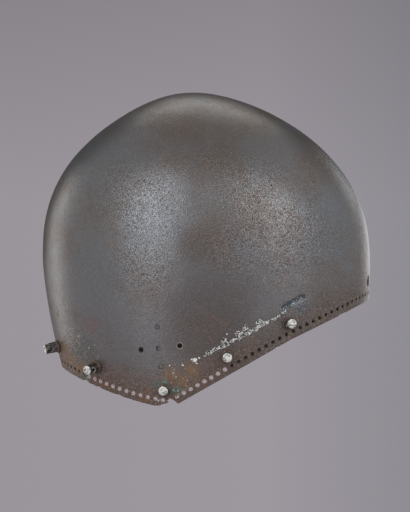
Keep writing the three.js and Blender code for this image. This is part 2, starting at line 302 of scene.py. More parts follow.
def turned(profile, sides, ragged=0.0, seed=0.0):
    """Points and faces of a body turned about Z from (radius, height) pairs, from its foot to its end."""
    points = []
    for radius, height in profile:
        for right, up in circle(sides):
            away = noise.noise(Vector((right * 1.6 + seed, up * 1.6, height * 0.35 + seed)))
            reach = radius * (1.0 + ragged * away)
            points.append(Vector((reach * right, reach * up, height)))
    return points, turned_faces(len(profile), sides)


def cut_away(thing, cutter):
    cut = thing.modifiers.new("cut", "BOOLEAN")
    cut.operation = "DIFFERENCE"
    cut.solver = "MANIFOLD"
    cut.object = cutter
    settled = bpy.data.meshes.new_from_object(thing.evaluated_get(bpy.context.evaluated_depsgraph_get()))
    thing.modifiers.clear()
    thing.data = settled
    bpy.data.objects.remove(cutter)


def smooth(thing, sharp_degrees):
    thing.data.shade_smooth()
    thing.data.set_sharp_from_angle(angle=math.radians(sharp_degrees))


def put_on_seat(thing, seat):
    place = TO_METRES @ seat
    thing.matrix_world = Matrix.Translation(place.translation) @ seat.to_quaternion().to_matrix().to_4x4()


# Fine skull

FACE_COLUMNS = 96
NAPE_COLUMNS = 70
OUTER_ROWS = 132
INNER_ROWS = 64
RIM_START = 0.7
# The rounded rim, as depth into the plate and height above the edge
RIM_ROUND = ((0.04, 0.36), (0.2, 0.12), (0.5, 0.0), (1.5, 0.0), (1.8, 0.12), (1.96, 0.36))
# How far below the crown the plate's direction is taken for the points nearer to the crown
CROWN_MARGIN = 3.0
# Chips in the edge, as distance ahead, side, half width and depth
CHIPS = (
    (-81.5, -1.0, 2.3, 1.3),
    (-76.5, -1.0, 1.2, 0.5),
    (-72.4, -1.0, 1.6, 1.0),
    (-58.0, -1.0, 2.6, 0.5),
    (50.4, -1.0, 1.7, 0.7),
    (96.0, -1.0, 3.0, 0.4),
    (-92.0, 1.0, 2.2, 1.0),
    (12.0, 1.0, 3.2, 0.6),
    (71.0, 1.0, 1.8, 0.5),
)
# Stretches of the left edge that are worn away, as middle, half width and depth, and how far they fade
LEFT_WEAR = ((-3.0, 20.5, 2.4), (-73.0, 21.0, 2.2))
WEAR_FADE = 3.0
# How much of the nape edge's corrosion the face edge has
FACE_EDGE_SHARE = 0.45


def edge_loss(points):
    """How far corrosion has eaten the edge back at points on it."""
    loss = np.zeros(len(points))
    for number, (x, y, z) in enumerate(points):
        fine = noise.noise(Vector((x, y, z)) * 0.42)
        broad = noise.noise(Vector((x, y, z)) * 0.09 + Vector((7.0, 0.0, 0.0)))
        share = 1.0 if x < -CHEEK_SETBACK else FACE_EDGE_SHARE
        eaten = (0.14 + 0.22 * max(fine, -0.3) + 0.2 * max(broad, 0.0)) * share
        for chip_x, sign, half_width, depth in CHIPS:
            if y * sign > 0.0:
                eaten += depth * max(0.0, 1.0 - ((x - chip_x) / half_width) ** 2) ** 0.7
        for middle, half_width, depth in LEFT_WEAR:
            if y > 0.0:
                eaten += depth * min(max((half_width - abs(x - middle)) / WEAR_FADE, 0.0), 1.0)
        loss[number] = max(eaten, 0.0)
    return loss


def hammering(points):
    """Gentle unevenness that raising with a hammer leaves, as a distance outwards."""
    away = np.zeros(len(points))
    for number, point in enumerate(points):
        place = Vector(point)
        broad = noise.noise(place * 0.021 + Vector((3.0, 1.0, 0.0)))
        away[number] = 0.34 * broad + 0.11 * noise.noise(place * 0.06)
    return away


def column_angles(inset):
    corner = last_angle(lambda turn: row_point(turn, 0.0, inset)[0] > -CHEEK_SETBACK)
    half = np.concatenate([
        np.linspace(0.0, corner, FACE_COLUMNS, endpoint=False),
        np.linspace(corner, math.pi, NAPE_COLUMNS + 1),
    ])
    return np.concatenate([half, -half[1:-1][::-1]])


def wall_level(share, lowest, inset):
    """Level at a share of the way from the crown down to the lowest level."""
    top = CROWN_RISE - inset
    travel = share * (math.pi / 2.0 - lowest / top)
    return np.where(travel < math.pi / 2.0, top * np.cos(travel), top * (math.pi / 2.0 - travel))


def skull_rings():
    """Angles, levels and inset of each ring, from the crown round the rim and up to the crown inside."""
    outer, inner = column_angles(0.0), column_angles(PLATE)
    loss = edge_loss(row_point(outer, 0.0))
    outer_rim = row_point(outer, RIM_START, 0.0)[:, 2] + loss
    inner_rim = row_point(inner, RIM_START, PLATE)[:, 2] + loss
    rings = []
    for row in range(1, OUTER_ROWS + 1):
        rings.append((outer, wall_level(row / OUTER_ROWS, outer_rim, 0.0), 0.0))
    for inset, above in RIM_ROUND:
        blend = inset / PLATE
        angle = outer * (1.0 - blend) + inner * blend
        rings.append((angle, row_point(angle, above, inset)[:, 2] + loss, inset))
    for row in range(INNER_ROWS, 0, -1):
        rings.append((inner, wall_level(row / INNER_ROWS, inner_rim, PLATE), PLATE))
    return rings


def skull_blank():
    rings = skull_rings()
    columns = 2 * (FACE_COLUMNS + NAPE_COLUMNS)
    points = [(-CROWN_SETBACK, 0.0, CROWN_RISE)]
    for angle, level, inset in rings:
        out = skin_normal(angle, np.minimum(level, CROWN_RISE - CROWN_MARGIN))
        away = hammering(skin_point(angle, level, 0.0))
        points.extend(skin_point(angle, level, inset) + out * away[:, None])
    points.append((-CROWN_SETBACK, 0.0, CROWN_RISE - PLATE))
    faces = []
    last_point = len(points) - 1
    last_ring = 1 + (len(rings) - 1) * columns
    for column in range(columns):
        after = (column + 1) % columns
        faces.append((0, 1 + column, 1 + after))
        faces.append((last_point, last_ring + after, last_ring + column))
        for ring in range(len(rings) - 1):
            here = 1 + ring * columns
            below = here + columns
            faces.append((here + column, below + column, below + after, here + after))
    return mesh_object("skull_raised", points, faces)


# Holes, the notch and the scrapes

# How far a hole's cutter runs past the plate, how much it widens there, and its margin at the mouth
CUTTER_REACH = 5.0
CUTTER_WIDENING = 1.5
CUTTER_MARGIN = 0.02
# Ragged outline of the notch, as shares of its width and height
NOTCH_OUTLINE = (
    (0.0, -0.9), (0.0, 0.26), (0.09, 0.34), (0.2, 0.31), (0.3, 0.46), (0.42, 0.52), (0.52, 0.6), (0.6, 0.73),
    (0.67, 0.86), (0.74, 0.99), (0.79, 0.97), (0.86, 0.82), (0.93, 0.66), (1.0, 0.5), (1.0, -0.9),
)


def hole_cutter(seat, radius, sides, flare, seed, inner_flare=CUTTER_MARGIN):
    """Points and faces of a body that cuts a hole with a flared mouth at each face of the plate."""
    profile = (
        (radius + inner_flare + CUTTER_WIDENING, -PLATE - CUTTER_REACH),
        (radius + inner_flare, -PLATE - CUTTER_MARGIN),
        (radius, -PLATE + inner_flare),
        (radius, -flare),
        (radius + flare, CUTTER_MARGIN),
        (radius + flare + CUTTER_WIDENING, CUTTER_REACH),
    )
    points, faces = turned(profile, sides, 0.09, seed)
    return [seat @ point for point in points], faces


def notch_cutter():
    """Upright prism with a ragged outline, through the right wall at the cheek corner."""
    left = -CHEEK_SETBACK - NOTCH_BACK
    flat = [(left + along * NOTCH_WIDTH, up * NOTCH_HEIGHT - CHEEK_DROP) for along, up in NOTCH_OUTLINE]
    points = [(x, y, z) for y in (-SIDE["reach"] - PLATE, -SIDE["reach"] / 2.0) for x, z in flat]
    cutter = mesh_object("notch", points, turned_faces(2, len(flat)))
    shell = bmesh.new()
    shell.from_mesh(cutter.data)
    bmesh.ops.recalc_face_normals(shell, faces=shell.faces)
    shell.to_mesh(cutter.data)
    shell.free()
    return cutter


def off_stroke(place, start, end):
    """Distance of a place from a straight stroke, and its share of the way along the stroke."""
    start = Vector(start)
    run = Vector(end) - start
    share = min(max((place - start).dot(run) / run.length_squared, 0.0), 1.0)
    return (place - start - run * share).length, share


def scrape_depth(place):
    """Depth of the gouge and of the ragged scrapes on the right side."""
    seen = Vector((place.x, place.z))
    off, share = off_stroke(seen, *GOUGE)
    depth = 0.75 * max(0.0, 1.0 - (off / (1.3 + 1.5 * share)) ** 2)
    nearest = min(off_stroke(seen, *stroke)[0] for stroke in SCRAPE_STROKES)
    band = max(0.0, 1.0 - nearest / SCRAPE_REACH)
    torn = noise.noise(Vector((place.x * 0.9, place.z * 0.9, 4.0)))
    torn += 0.5 * noise.noise(Vector((place.x * 2.1, place.z * 2.1, 9.0)))
    return depth + band * max(torn, -0.1) * 0.35


def skin_side(place):
    """How far out the right wall stands at a place."""
    reach = float(wall_reach(place.z, SIDE, 0.0))
    end = BROW if place.x >= 0.0 else NAPE
    share = min(abs(place.x) / float(wall_reach(place.z, end, 0.0)), 1.0)
    return reach * (1.0 - share ** end["plan"]) ** (1.0 / end["plan"])


def may_be_scraped(place):
    """Whether a place is on the outer skin of the right side, in the stretch round the scraped line."""
    line = SCRAPE_FOOT[1] + (place.x - SCRAPE_FOOT[0]) * SCRAPE_SLOPE
    return (
        place.y < -60.0
        and SCRAPED_STRETCH[0] < place.x < SCRAPED_STRETCH[1]
        and abs(place.z - line) < SCRAPE_HALF_HEIGHT
        and abs(-place.y - skin_side(place)) < 1.0
    )


def scrape_skull(skull):
    worn = bmesh.new()
    worn.from_mesh(skull.data)
    picked = [face for face in worn.faces if may_be_scraped(face.calc_center_median())]
    edges = list({edge for face in picked for edge in face.edges})
    bmesh.ops.subdivide_edges(worn, edges=edges, cuts=3, use_grid_fill=True)
    for vertex in worn.verts:
        if may_be_scraped(vertex.co):
            vertex.co.y += scrape_depth(vertex.co)
    worn.to_mesh(skull.data)
    worn.free()


# Where the studs, the stubs and the holes go

stud_rows = [traced_row(above) for above in STUD_ABOVES]
lining_row = traced_row(LINING_ABOVE)
brow_row = traced_row(BROW_HOLE_ABOVE)
stud_seats = {
    f"vervelle_{name}_{number + 1}": (seat_on_row(row, share * row["lengths"][-1], sign), lean, -sign * lift)
    for name, sign in SIDES.items()
    for number, (row, share, lean, lift) in enumerate(zip(stud_rows, STUD_PLACES, STUD_LEANS, STUD_LIFTS))
}
hole_seats = {
    f"stub_{name}_{label}": (seat_on_side(-back * NAPE["reach"], -drop * CHEEK_DROP, sign), radius, filled)
    for name, sign in SIDES.items()
    for label, back, drop, radius, filled in SIDE_HOLES
}


def lining_seats():
    length = lining_row["lengths"][-1]
    seats = []
    for number in range(LINING_COUNT):
        arc = LINING_PHASE + number * 2.0 * length / LINING_COUNT
        if arc < length:
            seats.append(seat_on_row(lining_row, arc, SIDES["right"]))
        else:
            seats.append(seat_on_row(lining_row, 2.0 * length - arc, SIDES["left"]))
    return seats


def make_skull():
    skull = skull_blank()
    scrape_skull(skull)
    points, faces = [], []

    def add(cutter):
        start = len(points)
        points.extend(cutter[0])
        faces.extend(tuple(start + corner for corner in face) for face in cutter[1])

    for number, seat in enumerate(lining_seats()):
        size = LINING_RADIUS * (1.0 + 0.1 * noise.noise(Vector((number * 1.7, 0.0, 5.0))))
        add(hole_cutter(seat, size, 16, 0.34, number, 0.6))
    for sign in SIDES.values():
        add(hole_cutter(seat_on_row(brow_row, BROW_HOLE_OFFSET, sign), BROW_HOLE_RADIUS, 40, 0.5, sign))
    for seat, _, _ in stud_seats.values():
        add(hole_cutter(seat, TANG_RADIUS + SEAT_GAP, 24, 0.1, 1.0))
    for number, (seat, radius, filled) in enumerate(hole_seats.values()):
        add(hole_cutter(seat, radius, 28, 0.07 if filled else 0.25, number * 3.0))
    cut_away(skull, mesh_object("holes", points, faces))
    cut_away(skull, notch_cutter())
    skull.data.transform(TO_METRES)
    skull.name = "skull_raised"
    smooth(skull, 38.0)
    return skull


# Pierced studs and stubs, made standing on their seats

COLLAR_TOP = SEAT_GAP + COLLAR_HEIGHT
INNER_SEAT = -PLATE - 2.0 * SEAT_GAP
# Rounded heads as shares of their radius and height, and the domed end as share of its radius and height
PEEN_FORM = ((0.3, 1.0), (0.62, 0.93), (0.86, 0.7), (0.98, 0.35), (1.0, 0.08), (0.97, 0.0))
STUB_HEAD_FORM = ((0.35, 1.0), (0.7, 0.82), (0.95, 0.4), (1.0, 0.0))
END_DOME = ((0.7, 0.08), (0.55, 0.12), (0.4, 0.15), (0.24, 0.17), (0.1, 0.18))
# Depth of the dents in a stud's end face, and the share that it may bulge
END_DENT = 0.3
END_BULGE = 0.15


def stud_profile():
    """Radius and height from the peened head inside over the tang, the collar and the post to the end."""
    end = STUD_LENGTH
    return (
        *[(PEEN_RADIUS * out, INNER_SEAT - PEEN_HEIGHT * rise) for out, rise in PEEN_FORM],
        (TANG_RADIUS, INNER_SEAT),
        (TANG_RADIUS, SEAT_GAP),
        (COLLAR_RADIUS - 0.15, SEAT_GAP),
        (COLLAR_RADIUS, SEAT_GAP + 0.15),
        (COLLAR_RADIUS, COLLAR_TOP - 0.5),
        (COLLAR_RADIUS - 0.16, COLLAR_TOP - 0.16),
        (COLLAR_RADIUS - 0.5, COLLAR_TOP),
        (FOOT_RADIUS + 0.12, COLLAR_TOP + 0.03),
        (FOOT_RADIUS, COLLAR_TOP + 0.2),
        (FOOT_RADIUS * 0.985, (COLLAR_TOP + end) * 0.4),
        (END_RADIUS * 1.01, end - 2.0),
        (END_RADIUS, end - 0.75),
        (END_RADIUS - 0.06, end - 0.42),
        (END_RADIUS - 0.22, end - 0.16),
        (END_RADIUS - 0.55, end + 0.02),
        *[(END_RADIUS * out, end + rise) for out, rise in END_DOME],
    )


def cord_hole_cutter():
    """Body that cuts the cord hole across a stud, with a wider mouth at each side."""
    half = ((CORD_HOLE_RADIUS, 2.4), (CORD_HOLE_MOUTH, 3.5), (CORD_HOLE_MOUTH, 9.0))
    profile = [(radius, -along) for radius, along in reversed(half)] + list(half)
    points, faces = turned(profile, 28)
    middle = Matrix.Translation((0.0, 0.0, STUD_LENGTH - CORD_HOLE_FROM_END))
    return mesh_object("cord_hole", points, faces, middle @ Matrix.Rotation(math.pi / 2.0, 4, "Y"))


def make_stud(name, seat, lean, lift, seed):
    points, faces = turned(stud_profile(), 56, 0.035, seed)
    for point in points:
        if point.z > STUD_LENGTH - END_DENT:
            dent = noise.noise(point * 0.9 + Vector((seed, 0.0, 0.0)))
            point.z += END_DENT * min(dent, END_BULGE)
    stud = mesh_object(name, points, faces)
    cut_away(stud, cord_hole_cutter())
    ahead, up = math.tan(math.radians(lean)), math.tan(math.radians(lift))
    for vertex in stud.data.vertices:
        height = max(vertex.co.z - COLLAR_TOP, 0.0)
        vertex.co.x += ahead * height
        vertex.co.y += up * height
    stud.data.transform(Matrix.Scale(MM, 4))
    smooth(stud, 40.0)
    put_on_seat(stud, seat)
    stud.name = name
    return stud


def make_stub(name, seat, radius, sink, slide, seed):
    """Stub of a broken rivet: rough and flush outside, hammered over inside."""
    shank = radius - SEAT_GAP / 3.0
    profile = (
        *[(STUB_HEAD_RADIUS * out, INNER_SEAT - STUB_HEAD_HEIGHT * rise) for out, rise in STUB_HEAD_FORM],
        (shank, INNER_SEAT),
        (shank, -0.14 - sink),
        (shank * 0.93, -0.03 - sink),
        (shank * 0.55, -sink),
        (shank * 0.2, -0.05 - sink),
    )
    points, faces = turned(profile, 32, 0.06, seed)
    points = [point + Vector((slide, 0.0, 0.0)) for point in points]
    stub = mesh_object(name, points, faces, Matrix.Scale(MM, 4))
    smooth(stub, 40.0)
    put_on_seat(stub, seat)
    return stub


# Finishes

def tint(red, green, blue):
    """A colour from the 0 to 255 steps of a colour card."""
    def steady(step):
        share = step / 255.0
        return share / 12.92 if share <= 0.04045 else ((share + 0.055) / 1.055) ** 2.4
    return (steady(red), steady(green), steady(blue), 1.0)


class Finish:
    """A node tree, to which expressions add their nodes, and the colour that is painted with them so far."""

    def __init__(self, tree, ground=None):
        self.tree = tree
        self.colour = ground

    def node(self, kind, inputs=None, **settings):
        made = self.tree.nodes.new(kind)
        for key, value in settings.items():
            setattr(made, key, value)
        for key, value in (inputs or {}).items():
            socket = made.inputs[key]
            if isinstance(value, Trace):
                self.tree.links.new(value.socket, socket)
            else:
                socket.default_value = value
        return Trace(self, made.outputs[0]) if made.outputs else None

    def maths(self, operation, *values):
        return self.node("ShaderNodeMath", dict(enumerate(values)), operation=operation)

    def vector(self, operation, *values):
        return self.node("ShaderNodeVectorMath", dict(enumerate(values)), operation=operation)

    def scaled(self, vector, share):
        return self.node("ShaderNodeVectorMath", {0: vector, 3: share}, operation="SCALE")

    def blend(self, below, above, mask):
        inputs = {0: mask, 6: below, 7: above}
        return self.node("ShaderNodeMix", inputs, data_type="RGBA", clamp_factor=True).output(2)

    def paint(self, colour, mask):
        """Lays a colour over the finish where the mask is 1."""
        self.colour = self.blend(self.colour, colour, mask)

    def grain(self, place, size, detail, rough, twist=0.0):
        """Cloudy noise from about 0 to 1 whose features are about size millimetres wide."""
        inputs = {"Vector": place, "Scale": 1.0 / size, "Detail": detail, "Roughness": rough}
        return self.node("ShaderNodeTexNoise", {**inputs, "Distortion": twist}, noise_dimensions="3D")

    def cells(self, place, size):
        """Distance from the nearest of scattered points, which are about size millimetres apart."""
        return self.node("ShaderNodeTexVoronoi", {"Vector": place, "Scale": 1.0 / size}, feature="F1")

    def split(self, vector):
        apart = self.node("ShaderNodeSeparateXYZ", {0: vector})
        return [apart.output(axis) for axis in range(3)]


def maths_method(operation, swapped=False):
    """Method that joins a trace and another value in a maths node."""
    def method(self, other):
        values = (other, self) if swapped else (self, other)
        return self.finish.maths(operation, *values)
    return method


class Trace:
    """A number, colour or direction that varies over a surface."""

    def __init__(self, finish, socket):
        self.finish = finish
        self.socket = socket

    __add__ = maths_method("ADD")
    __radd__ = maths_method("ADD", True)
    __sub__ = maths_method("SUBTRACT")
    __rsub__ = maths_method("SUBTRACT", True)
    __mul__ = maths_method("MULTIPLY")
    __truediv__ = maths_method("DIVIDE")
    __pow__ = maths_method("POWER")
    least = maths_method("MINIMUM")
    most = maths_method("MAXIMUM")

    def output(self, name):
        """Another output of the same node."""
        return Trace(self.finish, self.socket.node.outputs[name])

    def clipped(self):
        return self.finish.node("ShaderNodeClamp", {0: self})

    def rise(self, low, high):
        """0 at low and 1 at high with a soft step between, whichever of them is the higher."""
        ends = {0: self, 1: min(low, high), 2: max(low, high)}
        step = self.finish.node("ShaderNodeMapRange", ends, interpolation_type="SMOOTHSTEP")
        return 1.0 - step if low > high else step

    def sway(self, size):
        """Grain as a swing to both sides of 0, of the given size from end to end."""
        return (self - 0.5) * size


def strongest(masks):
    """The highest of some masks."""
    found = masks[0]
    for mask in masks[1:]:
        found = found.most(mask)
    return found


def distance(x, y):
    return (x ** 2.0 + y ** 2.0) ** 0.5


def new_finish(name, ground=None, kind=Finish):
    material = bpy.data.materials.new(name)
    material.use_nodes = True
    material.node_tree.nodes.clear()
    return material, kind(material.node_tree, ground)


def lay_on(finish, roughness, metallic, height):
    """Closes a finish with its shader: height is in millimetres."""
    bump = finish.node("ShaderNodeBump", {"Distance": MM, "Height": height})
    inputs = {"Base Color": finish.colour, "Roughness": roughness, "Metallic": metallic, "Normal": bump}
    shader = finish.node("ShaderNodeBsdfPrincipled", inputs)
    finish.node("ShaderNodeOutputMaterial", {"Surface": shader})


# Patinated iron of the skull

GREY = tint(139, 138, 138)
BROWN_BLOOM = tint(131, 123, 117)
COOL_GREY = tint(133, 139, 144)
UMBER = tint(116, 105, 99)
DARK = tint(72, 66, 63)
PALE = tint(204, 203, 202)
EMBER = tint(146, 104, 84)
EDGE_BROWN = tint(119, 99, 88)
EDGE_GREY = tint(114, 103, 96)
EDGE_PALE = tint(196, 178, 166)
EDGE_RUST = tint(150, 106, 74)
RUST = tint(152, 112, 70)
GREEN = tint(62, 116, 98)
GREEN_PALE = tint(172, 198, 182)
TEAL = tint(98, 112, 106)
BLUSH = tint(156, 120, 104)
CHALK = tint(212, 208, 200)
SCRATCHED = tint(168, 140, 122)
# Painted shade in the scraped band
SCRAPE_SHADE = tint(66, 66, 70)
BLUED = tint(82, 96, 104)
BLUED_PALE = tint(196, 208, 212)
BLUED_DARK = tint(44, 50, 56)
BRIGHT = tint(252, 251, 246)
OXIDE = tint(78, 66, 60)
OXIDE_PALE = tint(96, 80, 70)
# Painted light round the lining holes and painted highlight round the front side hole
PAINTED_HOLE_LIGHT = tint(236, 218, 206)


class SkullFinish(Finish):
    """The skull's finish, with the place in millimetres and the grains that its layers share."""

    def __init__(self, tree, ground):
        super().__init__(tree, ground)
        own = self.node("ShaderNodeTexCoord").output("Object")
        start = (-CROWN_SETBACK, 0.0, CROWN_RISE - PLATE)
        self.place = self.vector("MULTIPLY_ADD", own, (PER_METRE,) * 3, start)
        self.x, self.y, self.z = self.split(self.place)
        self.on_right = self.y.rise(-20.0, -40.0)
        self.clouds = self.grain(self.place, 44.0, 3.0, 0.5)
        self.mottle = self.grain(self.place, 9.0, 4.0, 0.6)
        self.fleck = self.grain(self.place, 2.8, 2.0, 0.6)
        self.speck = self.grain(self.place, 0.92, 2.0, 0.65)
        self.grit = self.speck + self.fleck.sway(0.14)
        self.ember = self.grain(self.place, 1.5, 1.0, 0.5)

    def above_edge(self):
        """Distance above the lower edge."""
        low, ahead = self.z + CHEEK_DROP, self.x + CHEEK_SETBACK
        cheek = (low - ahead * CHEEK_EDGE_SLOPE) / math.hypot(1.0, CHEEK_EDGE_SLOPE)
        start = CHEEK_EDGE_SLOPE * (BROW_EDGE_START + CHEEK_SETBACK)
        brow = self.z + (CHEEK_DROP - start) - (self.x - BROW_EDGE_START) * BROW_EDGE_SLOPE
        brow = brow / math.hypot(1.0, BROW_EDGE_SLOPE)
        share = ahead / (CHEEK_SETBACK - NAPE["reach"])
        bow = (share * (1.0 - share)).most(0.0) * (4.0 * NAPE_EDGE_BOW)
        nape = (low + ahead * NAPE_EDGE_SLOPE + bow) / math.hypot(1.0, NAPE_EDGE_SLOPE)
        return cheek.most(brow).least(nape)

    def off_line(self, start, end):
        """Distance from a straight stroke, seen from the side."""
        run_x, run_z = end[0] - start[0], end[1] - start[1]
        from_x, from_z = self.x - start[0], self.z - start[1]
        share = ((from_x * run_x + from_z * run_z) / (run_x ** 2 + run_z ** 2)).clipped()
        return distance(from_x - share * run_x, from_z - share * run_z)

    def off_spot(self, spot):
        """Distance from a spot, seen from the side."""
        return distance(self.x - spot[0], self.z - spot[1])

    def on_spot(self, spot, waver, outer, inner):
        """1 within the inner distance of a spot on the right side and 0 past the outer one."""
        return (self.off_spot(spot) + waver).rise(outer, inner) * self.on_right

    def in_zones(self, zones):
        """1 inside any of the zones, with a soft uneven border."""
        return strongest([
            (self.off_spot(spot) + self.mottle.sway(size * 0.8)).rise(size, size * 0.3)
            for *spot, size in zones
        ])

    def in_dots(self, dots, waver, core):
        """1 in the core of any of the dots, as a share of their radius, fading to 0 at their border."""
        return strongest([(self.off_spot(spot) + waver).rise(size, size * core) for *spot, size in dots])


def weather(iron):
    """Paints a brown bloom, light and dark grains, red flecks and pits over the grey."""
    clouds, mottle, grit = iron.clouds, iron.mottle, iron.grit
    iron.paint(BROWN_BLOOM, (clouds + mottle.sway(0.4)).rise(0.36, 0.7))
    cool = iron.in_zones(COOL_ZONES)
    iron.paint(COOL_GREY, cool * 0.5)
    iron.paint(UMBER, iron.in_zones(UMBER_ZONES) * 0.5)
    pitted = iron.in_zones(PITTED_ZONES).most(clouds.rise(0.55, 0.68) * 0.6)
    pitted = pitted * (1.0 - iron.z.rise(60.0, 85.0))
    iron.paint(DARK, grit.rise(0.52, 0.68) * (0.16 + pitted * 0.46))
    iron.paint(PALE, grit.rise(0.5, 0.3) * (0.18 + pitted * 0.36))
    red = (iron.ember + mottle.sway(0.32) + clouds.sway(0.3)).rise(0.54, 0.68)
    red = red * (1.0 - iron.z.rise(55.0, 85.0) * 0.75)
    iron.paint(EMBER, red * (0.12 + iron.in_zones(EMBER_ZONES) * 0.2 - cool * 0.06))
    sunk = iron.cells(iron.place, 1.9).rise(0.3, 0.14)
    sunk = sunk * (mottle + clouds.sway(0.5) + pitted * 0.1).rise(0.5, 0.6)
    iron.paint(DARK, sunk * (0.3 + pitted * 0.4))
    return pitted, red, sunk


def brown_the_edge(iron):
    """Paints the plate browner and more speckled towards its lower edge, with blotches of rust."""
    low = (iron.above_edge() + iron.clouds.sway(22.0) + iron.mottle.sway(9.0)).rise(25.0, 5.0)
    front = iron.x.rise(5.0, 50.0)
    iron.paint(iron.blend(EDGE_BROWN, EDGE_GREY, front), low * 0.84)
    iron.paint(DARK, low * iron.grit.rise(0.52, 0.68) * 0.62)
    iron.paint(EDGE_PALE, low * iron.grit.rise(0.45, 0.32) * 0.55)
    blotch = (iron.mottle + iron.fleck.sway(0.4)).rise(0.52, 0.62)
    iron.paint(EDGE_RUST, low * blotch * (0.34 - front * 0.24))
    return low


def rust_and_stain(iron):
    """Paints speckled orange rust, verdigris that has run from the studs, and teal, pink and white blooms."""
    mottle, fleck, speck = iron.mottle, iron.fleck, iron.speck
    rust = iron.in_dots(ORANGE_RUST, mottle.sway(11.0), 0.0) * iron.y.rise(2.0, -6.0)
    grains = (speck + fleck.sway(0.7) + mottle.sway(0.3)).rise(0.44, 0.58)
    iron.paint(RUST, rust * (0.3 + grains * 0.55))
    iron.paint(DARK, rust * (speck - fleck.sway(0.5)).rise(0.45, 0.36) * 0.5)
    green = iron.in_dots(VERDIGRIS, 0.0, 0.3) * iron.on_right * (speck + fleck.sway(0.5)).rise(0.47, 0.55)
    iron.paint(GREEN, green * 0.78)
    iron.paint(GREEN_PALE, green * iron.ember.rise(0.58, 0.66) * 0.7)
    teal = iron.on_spot(TEAL_SPOT, mottle.sway(16.0), 14.0, 5.0)
    iron.paint(TEAL, teal * (fleck - speck.sway(0.5)).rise(0.42, 0.54) * 0.5)
    blush = iron.on_spot(BLUSH_SPOT, mottle.sway(14.0), 10.0, 2.0)
    iron.paint(BLUSH, blush * fleck.rise(0.36, 0.56) * 0.42)
    chalk = strongest([iron.off_spot(spot).rise(size, CHALK_CORE) for *spot, size in CHALK_ZONES])
    chalk = chalk * iron.cells(iron.place, 2.3).rise(0.22, 0.12) * fleck.rise(0.44, 0.5) * 0.8
    chalk = chalk.most(iron.in_dots(CHALK_DOTS, speck.sway(1.4), 0.5)) * iron.on_right
    iron.paint(CHALK, chalk * 0.8)
    return rust, green, chalk


def scratch_and_scrape(iron):
    """Paints a scratch, the blued gouge, and curls and beads of bright metal on a ground of painted dark
    shade.
    """
    mottle, fleck, speck, grit = iron.mottle, iron.fleck, iron.speck, iron.grit
    scratched = (iron.off_line(*SCRATCH) + mottle.sway(5.0)).rise(2.2, 0.4) * speck.rise(0.5, 0.58)
    iron.paint(SCRATCHED, scratched * iron.on_right * 0.5)
    band = iron.in_dots(SCRAPE_PATCHES, 0.0, 0.2)
    for stroke, width in zip(SCRAPE_STROKES, SCRAPE_WIDTHS):
        band = band.most(iron.off_line(*stroke).rise(width, 0.0))
    clots = iron.grain(iron.place, 3.4, 2.0, 0.6)
    # Painted shade: a dark bluish ground in the scraped band, under the bright curls and beads
    scrape_shade = (band + clots.sway(0.8)).rise(0.25, 0.6)
    iron.paint(SCRAPE_SHADE, scrape_shade * iron.on_right * 0.7)

    blued = (iron.off_line(*GOUGE) + mottle.sway(3.0) + fleck.sway(4.0)).rise(3.6, 0.8) * iron.on_right
    blued = blued.most(iron.on_spot(BLUED_SPOT, fleck.sway(10.0), 6.0, 1.0) * 0.8)
    iron.paint(BLUED, blued * 0.62)
    iron.paint(BLUED_PALE, blued * grit.rise(0.46, 0.36) * 0.7)
    iron.paint(BLUED_DARK, blued * grit.rise(0.52, 0.62) * 0.75)

    curl = iron.grain(iron.place, 1.7, 1.0, 0.5, 0.5)
    thread = iron.maths("ABSOLUTE", curl - 0.5).rise(0.075, 0.03)
    bead = iron.cells(iron.place, 1.35).rise(0.44, 0.28) * speck.rise(0.47, 0.53)
    torn = (band + clots.sway(1.5)).rise(0.44, 0.62) * band.rise(0.03, 0.15)
    scraped = (thread * 0.75).most(bead) * torn
    scraped = scraped.most(iron.in_dots(BRIGHT_DOTS, speck.sway(1.6), 0.5)) * iron.on_right
    iron.paint(BRIGHT, scraped)
    return scraped, blued


def painted_hole_light(iron):
    """1 where light is painted round the mouths and walls of the lining holes by the cheek corner, with a
    painted highlight ring round the front side hole.
    """
    front = hole_seats["stub_right_front"][0].translation
    # Painted highlight: a thin pale ring round the mouth of the front side hole
    ring = iron.maths("ABSOLUTE", iron.off_spot((front.x, front.z)) - FRONT_HIGHLIGHT_RING)
    lit_mouths = ring.rise(0.3, 0.1) * 0.5
    # Painted light: a pale ring on each lining hole's mouth and wall, standing in for the light seen through
    # it
    for seat in lining_seats():
        if LIT_HOLE_STRETCH[0] < seat.translation.x < LIT_HOLE_STRETCH[1] and seat.translation.y < 0.0:
            reach = iron.vector("SUBTRACT", iron.place, tuple(seat.translation))
            across = iron.vector("CROSS_PRODUCT", reach, tuple(seat.col[2][:3]))
            off_axis = iron.vector("LENGTH", across).output("Value")
            lit_mouths = lit_mouths.most((off_axis + iron.speck.sway(0.3)).rise(1.55, 1.3))
    return lit_mouths * iron.on_right


